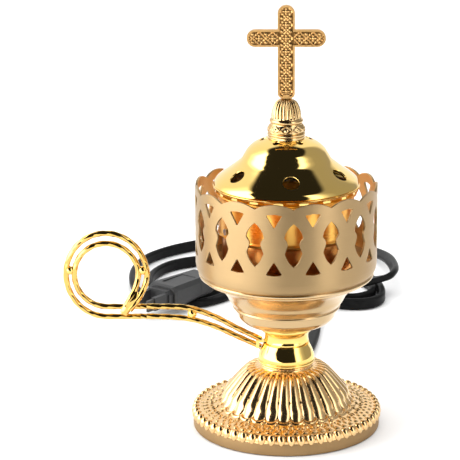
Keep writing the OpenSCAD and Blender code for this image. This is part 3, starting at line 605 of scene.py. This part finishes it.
def knot_hole(x0):
    """Outline of the tall hole, which narrows to a waist between two cusps."""
    low, waist, high = smooth(KNOT[:3], 4), smooth(KNOT[3:6], 3), smooth(KNOT[7:], 4)
    side = low[:-1] + [KNOT[2]] + waist + [KNOT[6]] + high
    outline = side + [(-x, z) for x, z in reversed(side[1:-1])]
    return [(x0 + x, z) for x, z in eased(outline, 0.45, 3, closed=True)]


def make_gallery():
    """Cut flat as one strip, then bent round. x runs round the gallery, from a seam at the back."""
    seam = 4.6                                  # from the seam to the nearest valley
    lap = 3.0                                   # cut off again at both ends
    back = TAU * (LOBES // 2) / LOBES
    curve = bpy.data.curves.new("gallery_strip", "CURVE")
    curve.dimensions = "2D"
    curve.fill_mode = "BOTH"
    curve.extrude = (GALLERY_WALL / 2 - GALLERY_EDGE) * MM
    curve.bevel_depth = GALLERY_EDGE * MM
    curve.bevel_resolution = 2
    lobe_r = (CELL ** 2 / 4 + SCALLOP ** 2) / (2 * SCALLOP)
    top = []
    for k in range(LOBES + 2):
        middle = k * CELL - CELL / 2 - seam
        for i in range(-8, 9):
            x = CELL / 2 * i / 8
            if -lap < middle + x < LOBES * CELL + lap:
                top.append((middle + x, CREST_Z - (lobe_r - math.sqrt(lobe_r ** 2 - x * x))))
    thin = [p for i, p in enumerate(top) if i == 0 or p[0] - top[i - 1][0] > 0.01]
    base_z = GALLERY_BASE[0][1]
    flat_outline(curve, [(-lap, base_z)] + thin + [(thin[-1][0], base_z)])
    for k in range(-1, LOBES + 1):
        valley = k * CELL - seam + CELL
        crest = valley - CELL / 2
        for hole in (knot_hole(valley), vent(crest, *TOP_VENT), vent(crest, *LOW_VENT)):
            xs = [p[0] for p in hole]
            if min(xs) > 0.05 and max(xs) < LOBES * CELL - 0.05:
                flat_outline(curve, hole)
    source = bpy.data.objects.new("gallery_strip", curve)
    bpy.context.scene.collection.objects.link(source)
    bpy.context.view_layer.update()
    flat = bpy.data.meshes.new_from_object(source.evaluated_get(bpy.context.evaluated_depsgraph_get()))
    bpy.data.objects.remove(source)
    bm = bmesh.new()
    bm.from_mesh(flat)
    bmesh.ops.remove_doubles(bm, verts=bm.verts, dist=1e-7)
    girth = LOBES * CELL * MM
    steps = LOBES * 12
    for k in range(steps + 1):
        everything = bm.verts[:] + bm.edges[:] + bm.faces[:]
        bmesh.ops.bisect_plane(bm, geom=everything, plane_co=(girth * k / steps, 0, 0),
                               plane_no=(1, 0, 0), clear_inner=(k == 0), clear_outer=(k == steps),
                               dist=1e-8)
    for _, z in GALLERY_BASE[1:]:
        everything = bm.verts[:] + bm.edges[:] + bm.faces[:]
        bmesh.ops.bisect_plane(bm, geom=everything, plane_co=(0, z * MM, 0), plane_no=(0, 1, 0),
                               dist=1e-8)
    base_r = [p[0] for p in GALLERY_BASE]
    base_h = [p[1] for p in GALLERY_BASE]
    for v in bm.verts:
        x, z, w = v.co
        turn = FIRST_VALLEY + back + (x / MM + seam) / GALLERY_R
        r = float(np.interp(z / MM, base_h, base_r)) - GALLERY_WALL / 2 + w / MM
        v.co = Vector((r * math.sin(turn) * MM, -r * math.cos(turn) * MM, z))
    bmesh.ops.remove_doubles(bm, verts=bm.verts, dist=2e-6)
    bmesh.ops.recalc_face_normals(bm, faces=bm.faces)
    mesh = bpy.data.meshes.new("gallery_pierced")
    bm.to_mesh(mesh)
    bm.free()
    mesh.polygons.foreach_set("use_smooth", [True] * len(mesh.polygons))
    outer = GALLERY_BASE + [(GALLERY_R, CREST_Z + 1)]
    inner = [(r - GALLERY_WALL, z) for r, z in reversed(outer)]
    set_profile_normals(mesh, outer + inner)
    obj = bpy.data.objects.new("gallery_pierced", mesh)
    bpy.context.scene.collection.objects.link(obj)
    return obj


gallery = place(make_gallery(), "censer", "satin_gilt", brushed_gilt, "gallery")
# painted light: the inner faces above the base take the brighter gold, for the light that bounces inside
# the gallery
gallery.data.materials.append(gallery_inside_painted_light)
for face in gallery.data.polygons:
    inward = math.hypot(face.center.x, face.center.y) < (GALLERY_R - 0.8 * GALLERY_WALL) * MM
    face.material_index = 1 if inward and face.center.z > GALLERY_BASE[-1][1] * MM else 0

# --- cup and can ----------------------------------------------------------------------------
CUP_RIM = [(32.0, 112.8), (32.7, 113.3), (32.8, 114), (32.3, 114.7), (31.4, 114.8), (30.5, 114.4)]
CUP = ([(12, 93.55), (30.1, 93.55), (30.25, 94.5), (31.2, 94.6), (32.0, 95.2), (31.7, 95.9),
        (31.4, 96.2), (31.4, 112.7)] + CUP_RIM + [(30.2, 113.6), (30.2, 95.8), (12, 95.8)])
cup = lathe("resin_cup", eased(CUP, 0.4, closed=True))
place(cup, "censer", "bright_gilt", inner_gilt, "inner_cup")
CAN = [(5.1, 79.5), (29.6, 79.5), (29.8, 79.7), (29.8, 93.4), (28.8, 93.4), (28.8, 80.5), (5.1, 80.5)]
can = lathe("heater_case", eased(CAN, 0.3, closed=True))
place(can, "censer", "bright_gilt", can_gilt, "heater_can")

# --- lid ------------------------------------------------------------------------------------
LID_Z, LID_WALL = 115.2, 1.2
LID_RIM = [(33.5, LID_Z), (33.5, LID_Z + 1.1), (34, LID_Z + 1.3), (34, LID_Z + 2), (33.4, LID_Z + 2.3)]
DOME = smooth([(33.7, 117.8), (32.7, 119.6), (30.6, 121.5), (27, 124.1), (23.6, 126.7), (21.1, 128.9),
               (19.4, 131.6), (17.6, 134.2), (14.4, 136.8), (9.4, 139.0)], 8)
VENTS, FIRST_VENT = 6, math.radians(4.5)
# radius and height of each hole's middle, how steeply its axis points up, and its diameter
VENT = (27, 124.1, math.radians(50), 7.6)
SMALL_VENT = (10.6, 139, math.pi / 2, 3.4)


def hole_cutter(turn, r, z, tilt, diameter):
    """A round cutter through the dome, at an angle round it."""
    bm = bmesh.new()
    bmesh.ops.create_cone(bm, cap_ends=True, segments=64, radius1=diameter / 2 * MM,
                          radius2=diameter / 2 * MM, depth=9 * MM)
    aim = Matrix.Rotation(turn - math.pi / 2, 4, "Z") @ Matrix.Translation((r * MM, 0, z * MM)) \
        @ Matrix.Rotation(math.pi / 2 - tilt, 4, "Y")
    bm.transform(aim)
    mesh = bpy.data.meshes.new("cutter")
    bm.to_mesh(mesh)
    bm.free()
    obj = bpy.data.objects.new("cutter", mesh)
    bpy.context.scene.collection.objects.link(obj)
    return obj


def make_dome():
    """The spun lid, with a ring of large vents and one of small vents cut through it."""
    inside = [(r - LID_WALL, z - LID_WALL * 0.7) for r, z in reversed(DOME)]
    outline = eased(LID_RIM, 0.3) + DOME + [(2.1, 139.0), (2.1, 138.16)] + inside + \
        [(31.3, LID_Z + 2.3), (31.3, LID_Z)]
    dome = lathe("lid_dome_spun", outline, 256)
    cutters = []
    for k in range(VENTS):
        turn = FIRST_VENT + TAU * k / VENTS
        cutters.append(hole_cutter(turn, *VENT))
        cutters.append(hole_cutter(turn + math.pi / VENTS, *SMALL_VENT))
    cutter = joined("cutters", cutters)
    cut = dome.modifiers.new("vents", "BOOLEAN")
    cut.operation = "DIFFERENCE"
    cut.solver = "EXACT"
    cut.object = cutter
    bpy.context.view_layer.update()
    mesh = bpy.data.meshes.new_from_object(dome.evaluated_get(bpy.context.evaluated_depsgraph_get()))
    dome.modifiers.clear()
    bpy.data.objects.remove(cutter)
    dome.data = mesh
    set_profile_normals(mesh, outline)
    return dome


place(make_dome(), "lid", "bright_gilt", mirror_gilt, "lid_dome")

# --- finial ---------------------------------------------------------------------------------
FINIAL_Z = 139.02
RIBS, LOZENGES = 22, 9
# its outline from the foot up, each point (radius, height above FINIAL_Z)
FINIAL_FOOT = [(8.5, 0), (8.5, 1), (8.3, 1.15), (8.75, 1.6), (8.75, 2.2), (8.3, 2.6)]
FINIAL_BAND = smooth([(8.6, 3), (8.7, 4), (8.2, 5.6), (7.4, 6.9)], 10)
FINIAL_BEAD = [(7.2, 7.1), (7.7, 7.5), (7.8, 8.1), (7.5, 8.8), (7.0, 9.1)]
FINIAL_CAP = smooth([(6.95, 9.3), (6.8, 11.4), (6.2, 14), (5, 16.4), (3.2, 17.8)], 10)


def make_finial():
    """The acorn: a foot, a band of lozenges, a bead and a ribbed cap."""
    foot_part = eased(FINIAL_FOOT, 0.25)
    bead_part = eased(FINIAL_BEAD, 0.35)
    outline = [(2.1, 0)] + foot_part + FINIAL_BAND + bead_part + FINIAL_CAP
    outline += [(2.6, 18.1), (0.01, 18.1)]
    band = 1 + len(foot_part)
    cap = band + len(FINIAL_BAND) + len(bead_part)
    outline = [(r, z + FINIAL_Z) for r, z in outline]

    def swell(a, i):
        if band <= i < band + len(FINIAL_BAND):
            t = (i - band) / (len(FINIAL_BAND) - 1)
            cell = TAU / LOZENGES
            u = ((a + cell / 2) % cell - cell / 2) / (cell / 2)
            h = (t - 0.5) * 2.3
            lift = 0.32 * ridge(abs(u) + abs(h) - 0.85, 0.13)
            lift += 0.34 * ridge(u, 0.25) * ridge(h, 0.32)
            lift += 0.26 * ridge(abs(u) - 1, 0.2) * ridge(h, 0.35)
            edge = min(1, t * 6, (1 - t) * 6)
            return (lift - 0.26) * edge, 0
        if cap <= i < cap + len(FINIAL_CAP):
            t = (i - cap) / (len(FINIAL_CAP) - 1)
            rib = abs(math.sin(RIBS / 2 * a)) ** 0.7
            deep = 0.55 * min(1, t * 9, (1 - t) * 5 + 0.1)
            return (rib - 1) * deep, 0
        return 0, 0

    return lathe("finial_acorn", outline, 704, closed=False, swell=swell, smooth_angle=60)


place(make_finial(), "lid", "bright_gilt", acorn_gilt, "finial")

# --- cross ----------------------------------------------------------------------------------
TOTAL_H, BAR_W, ARM_SPAN, BAR_T = 200.0, 7.8, 35.8, 2.8
CROSS_FOOT = 157.32            # height of its lowest point
ARM_Z = TOTAL_H - 15           # height of the arms' middle
RIM_W = 0.9                    # the plain rim round each face
FACE_DEPTH = 0.5               # of the recess inside the rim
PITCH = 6.1                    # of the filigree
RELIEF_STEP = 0.13             # grid of the filigree's mesh
RELIEF_TOP = 0.44              # the filigree stays below the rim


def cross_inset(x, z):
    """How far the point lies inside the outline of the cross."""
    half = BAR_W / 2
    top = TOTAL_H - half
    up = half - math.hypot(x, max(0.0, z - top, (CROSS_FOOT + half - z) * 0.6))
    reach = (ARM_SPAN - BAR_W) / 2
    side = half - math.hypot(max(0.0, abs(x) - reach), z - ARM_Z)
    return max(up, side)


def filigree(x, z):
    """Relief of lozenges with scalloped edges, each round a flower of dots."""
    if abs(z - ARM_Z) < BAR_W / 2 and abs(x) > BAR_W / 2 - 0.3:
        along, across = x, z - ARM_Z
    else:
        along, across = z - ARM_Z, x
    u = ((along + PITCH / 2) % PITCH - PITCH / 2) / (PITCH / 2)
    v = across / (BAR_W / 2 - RIM_W)
    wave = 0.07 * math.cos(6 * math.pi * u)
    level = 0.36 * ridge(abs(u) + abs(v) - 0.98 + wave, 0.13)
    level += 0.38 * math.exp(-(u * u + v * v) / 0.028)
    for k in range(4):
        a = TAU * k / 4
        petal = math.hypot(u - 0.38 * math.cos(a), v - 0.38 * math.sin(a))
        level += 0.30 * math.exp(-petal ** 2 / 0.016)
    level += 0.30 * math.exp(-((abs(u) - 1) ** 2 + (abs(v) - 0.62) ** 2) / 0.035)
    level += 0.26 * math.exp(-((abs(u) - 1) ** 2 + v ** 2) / 0.02)
    return level


def make_relief(front):
    """One filigree face, laid in the recess of the cross."""
    columns = int(ARM_SPAN / RELIEF_STEP) + 1
    rows = int((TOTAL_H - CROSS_FOOT) / RELIEF_STEP) + 1
    way = -1 if front else 1
    index, verts, faces = {}, [], []
    for i in range(columns + 1):
        for j in range(rows + 1):
            x, z = -ARM_SPAN / 2 + i * RELIEF_STEP, CROSS_FOOT + j * RELIEF_STEP
            under_rim = cross_inset(x, z) < RIM_W - 0.16
            at_stud = abs(x) < 1.5 and z < CROSS_FOOT + 2.4
            if under_rim or at_stud:
                continue
            level = min(filigree(x, z), RELIEF_TOP)
            index[i, j] = len(verts)
            verts.append((x, way * (BAR_T / 2 - FACE_DEPTH + 0.02 + level), z))
    for i in range(columns):
        for j in range(rows):
            quad = [(i, j), (i + 1, j), (i + 1, j + 1), (i, j + 1)]
            if all(q in index for q in quad):
                ids = [index[q] for q in quad]
                faces.append(tuple(ids if front else reversed(ids)))
    return mesh_object("cross_relief_" + ("front" if front else "back"), verts, faces, 180)


antique_relief = surface("antique_relief", [(0.74, 0.43, 0.15), (0.82, 0.50, 0.20)], (0.26, 0.38), 1.0,
                         300, grain=(2500, 2500, 2500), bump=0.15)
PATINA = (0.20, 0.10, 0.03, 1)


def darken_recesses(material):
    """Dark patina where the relief lies deep in the cross, by its distance from the middle plane."""
    tree = material.node_tree
    shader = tree.nodes["Principled BSDF"]
    colour = shader.inputs["Base Color"].links[0].from_socket
    coord = add(tree, "ShaderNodeTexCoord").outputs["Object"]
    depth = add(tree, "ShaderNodeSeparateXYZ", {"Vector": coord}).outputs["Y"]
    away = add(tree, "ShaderNodeMath", {0: depth}, operation="ABSOLUTE").outputs[0]
    low, high = (BAR_T / 2 - FACE_DEPTH + 0.03) * MM, (BAR_T / 2 - FACE_DEPTH + 0.30) * MM
    lifted = {"Value": away, "From Min": low, "From Max": high}
    level = add(tree, "ShaderNodeMapRange", lifted).outputs[0]
    mixed = add(tree, "ShaderNodeMix", data_type="RGBA")
    mixed.inputs["A"].default_value = PATINA
    tree.links.new(level, mixed.inputs["Factor"])
    tree.links.new(colour, mixed.inputs["B"])
    tree.links.new(mixed.outputs["Result"], shader.inputs["Base Color"])


darken_recesses(antique_relief)
for front in (True, False):
    place(make_relief(front), "lid", "antique_gilt", antique_relief)

# --- hand grip ------------------------------------------------------------------------------
LOOP_X, LOOP_Z = 84, 73        # the loop's middle lies at -LOOP_X
TIP_FORWARD = 2.9              # how far the wire ends come forward of the straight run
# each wire from the stem to the loop, as (x, z), and from the loop to its end, as (x, part of
# TIP_FORWARD, z)
LOW_RUN = [(-12, 37.8), (-22, 42.4), (-34, 48), (-46, 51.6), (-60, 52.7), (-76, 52.7)]
HIGH_RUN = [(-11.8, 41.4), (-22, 46.4), (-34, 52.8), (-46, 56.9), (-60, 57.6), (-76, 57.6)]
LOW_ENDS = [(-65.3, 0, 76.5), (-65.4, 0.15, 70.5), (-67.4, 0.5, 65), (-70.2, 0.85, 60.6),
            (-73.2, 1, 56.8)]
HIGH_ENDS = [(-69.2, 0, 76.2), (-69.4, 0.15, 71), (-70.8, 0.5, 66.2), (-72.8, 0.85, 62.4),
             (-75.4, 1, 58.6)]
LOW_LOOP, HIGH_LOOP = (18.9, 20.3), (15, 15.4)  # half width and half height of each wire's loop
WIRE, WIRE_EDGE = 2.55, 0.95                    # side of the square wire and its rounding
TWIST_PITCH = 25.0
BALLS = ((-44.2, 54.2, 2.25), (-101, 75.3, 2.05), (-67, 75.3, 2.1))     # x, z and radius


def grip_path(run, size, ends):
    """Centre line of one wire: up from the stem, round the loop and forward to its end."""
    points = [(x, 0, z) for x, z in run]
    for a in range(-90, -331, -12):
        t = math.radians(a)
        points.append((-LOOP_X + size[0] * math.cos(t), 0, LOOP_Z + size[1] * math.sin(t)))
    points += [(x, -TIP_FORWARD * f, z) for x, f, z in ends]
    return smooth(points, 6)


def rounded_square(side, radius, steps=4):
    """Section of a square wire with rounded edges."""
    half = side / 2 - radius
    out = []
    for k, (sx, sy) in enumerate([(1, 1), (-1, 1), (-1, -1), (1, -1)]):
        for i in range(steps + 1):
            a = math.pi / 2 * (k + i / steps)
            out.append((sx * half + radius * math.cos(a), sy * half + radius * math.sin(a)))
    return out


wire_section = rounded_square(WIRE, WIRE_EDGE)
for piece, run, size, ends, cad in (
        ("grip_outer_wire", LOW_RUN, LOW_LOOP, LOW_ENDS, "handle_outer_wire"),
        ("grip_inner_wire", HIGH_RUN, HIGH_LOOP, HIGH_ENDS, "handle_inner_wire")):
    wire = sweep(piece, grip_path(run, size, ends), wire_section, lambda s: TAU * s / TWIST_PITCH)
    place(wire, "censer", "bright_gilt", wire_gilt, cad)


def make_blade():
    """The two wire ends beaten together into one flat tongue in front of the straight run."""
    path = smooth([(-70.0, -TIP_FORWARD * 0.6, 65.5), (-72.0, -TIP_FORWARD * 0.95, 61.8),
                   (-74.2, -TIP_FORWARD - 0.1, 58.2), (-76.4, -TIP_FORWARD - 0.2, 55.0)], 8)
    turns = [TAU * k / 24 for k in range(24)]
    ring = [(math.cos(a) * (1 + 0.06 * math.cos(6 * a)), math.sin(a)) for a in turns]
    widths = [1.2, 2.0, 2.5, 2.4, 2.2, 2.0, 1.9, 1.7]       # half widths from root to tip

    def scale(i):
        t = i / (len(path) - 1) * (len(widths) - 1)
        w = float(np.interp(t, range(len(widths)), widths))
        return w, 1.0 if i < len(path) - 2 else 0.8

    return sweep("grip_blade", path, ring, scale=scale)


place(make_blade(), "censer", "bright_gilt", wire_gilt, "handle_tip")


def make_balls():
    """The balls that hold the two wires apart."""
    bm = bmesh.new()
    for x, z, r in BALLS:
        made = bmesh.ops.create_uvsphere(bm, u_segments=32, v_segments=20, radius=r * MM)["verts"]
        bmesh.ops.translate(bm, verts=made, vec=(x * MM, 0, z * MM))
    mesh = bpy.data.meshes.new("grip_balls")
    bm.to_mesh(mesh)
    bm.free()
    return finish_object("grip_balls", mesh)


place(make_balls(), "censer", "bright_gilt", mirror_gilt, "handle_balls")

# --- softened edges on the plain CAD pieces ---------------------------------------------------
SOFTENED = (("plug_body", 0.5), ("plug_blades", 0.2), ("strain_relief", 0.3), ("cross", 0.25),
            ("cross_post", 0.2), ("handle_eye", 0.2), ("lid_collar", 0.15), ("foot_pad", 0.3))
for name, width in SOFTENED:
    bevel = frame["nodes"][name].modifiers.new("edges", "BEVEL")
    bevel.width = width * MM
    bevel.segments = 3
    bevel.limit_method = "ANGLE"
    bevel.angle_limit = math.radians(38)

# --- studio ---------------------------------------------------------------------------------
DARK_ROOM = 0.022              # brightness of the room between its screens
BRIGHTEST = 5.0
# brightness of the screens by turn from the front, in degrees
SCREENS = [(-180, 1.1), (-127, 1.1), (-113, 1.8), (-100, 4.6), (-30, 4.8), (35, 2.8), (57, 2.7),
           (65, 1.25), (76, 0.6), (90, 0.4), (142, 0.38), (152, 1.1), (180, 1.1)]
scene = bpy.context.scene
scene.view_settings.view_transform = "Standard"
world = bpy.data.worlds.new("studio")
world.use_nodes = True
scene.world = world


def ease_between(tree, value, low, high):
    """Rises smoothly from 0 at low to 1 at high, both in degrees or as given."""
    return add(tree, "ShaderNodeMapRange", {"Value": value, "From Min": low, "From Max": high},
               interpolation_type="SMOOTHSTEP").outputs[0]


def calc(tree, operation, a, b=0.0):
    """A Math node's result."""
    return add(tree, "ShaderNodeMath", {0: a, 1: b}, operation=operation).outputs[0]


def light_studio(tree):
    """A dark room with a tall white screen to the left, a narrower one to the right, and a white back.
    Seen straight, past the edge of the table, it is plain white. Turn is measured from the front,
    plus towards +X, and rise from the horizon, both in degrees."""
    way = add(tree, "ShaderNodeTexCoord").outputs["Generated"]
    axes = add(tree, "ShaderNodeSeparateXYZ", {"Vector": way}).outputs
    front = calc(tree, "MULTIPLY", axes["Y"], -1.0)
    turn = calc(tree, "MULTIPLY", calc(tree, "ARCTAN2", axes["X"], front), math.degrees(1))
    rise = calc(tree, "MULTIPLY", calc(tree, "ARCSINE", axes["Z"]), math.degrees(1))
    strength = ramp(tree, calc(tree, "ADD", calc(tree, "DIVIDE", turn, 360.0), 0.5),
                    [((t + 180) / 360, grey(v / BRIGHTEST)) for t, v in SCREENS])
    left_edge = calc(tree, "SUBTRACT", calc(tree, "MULTIPLY", rise, -1.2), 20.0)
    left = ease_between(tree, calc(tree, "SUBTRACT", left_edge, turn), -4, 6)
    right = ease_between(tree, turn, 36, 47)
    both = calc(tree, "MAXIMUM", left, right)
    low = calc(tree, "SUBTRACT", 1.0, ease_between(tree, rise, 54, 61))
    lit = calc(tree, "MULTIPLY", calc(tree, "MULTIPLY", both, low), strength)
    total = calc(tree, "ADD", calc(tree, "MULTIPLY", lit, BRIGHTEST), DARK_ROOM)
    seen = add(tree, "ShaderNodeLightPath").outputs["Is Camera Ray"]
    tree.links.new(calc(tree, "MAXIMUM", total, seen), tree.nodes["Background"].inputs["Strength"])
    tree.nodes["Background"].inputs["Color"].default_value = (1, 1, 1, 1)


light_studio(world.node_tree)

overhead = bpy.data.lights.new("overhead_fill", "AREA")
overhead.size, overhead.energy = 3.0, 62
overhead_fill = bpy.data.objects.new("overhead_fill", overhead)
overhead_fill.location = (0, 0, 2.0)
overhead_fill.visible_camera = False
overhead_fill.visible_glossy = False
scene.collection.objects.link(overhead_fill)

FLOOR_FRONT, FLOOR_BACK, FLOOR_SIDE = -480, 6000, 4000       # the table ends just before the camera
FLOOR_Z = -0.2
corners = [(-FLOOR_SIDE, FLOOR_FRONT, FLOOR_Z), (FLOOR_SIDE, FLOOR_FRONT, FLOOR_Z),
           (FLOOR_SIDE, FLOOR_BACK, FLOOR_Z), (-FLOOR_SIDE, FLOOR_BACK, FLOOR_Z)]
floor = mesh_object("floor", corners, [(0, 1, 2, 3)])
floor.data.materials.append(surface("floor_paper", [grey(0.86), grey(0.88)], (0.7, 0.8), 0.0, 8,
                                    specular=0.2))
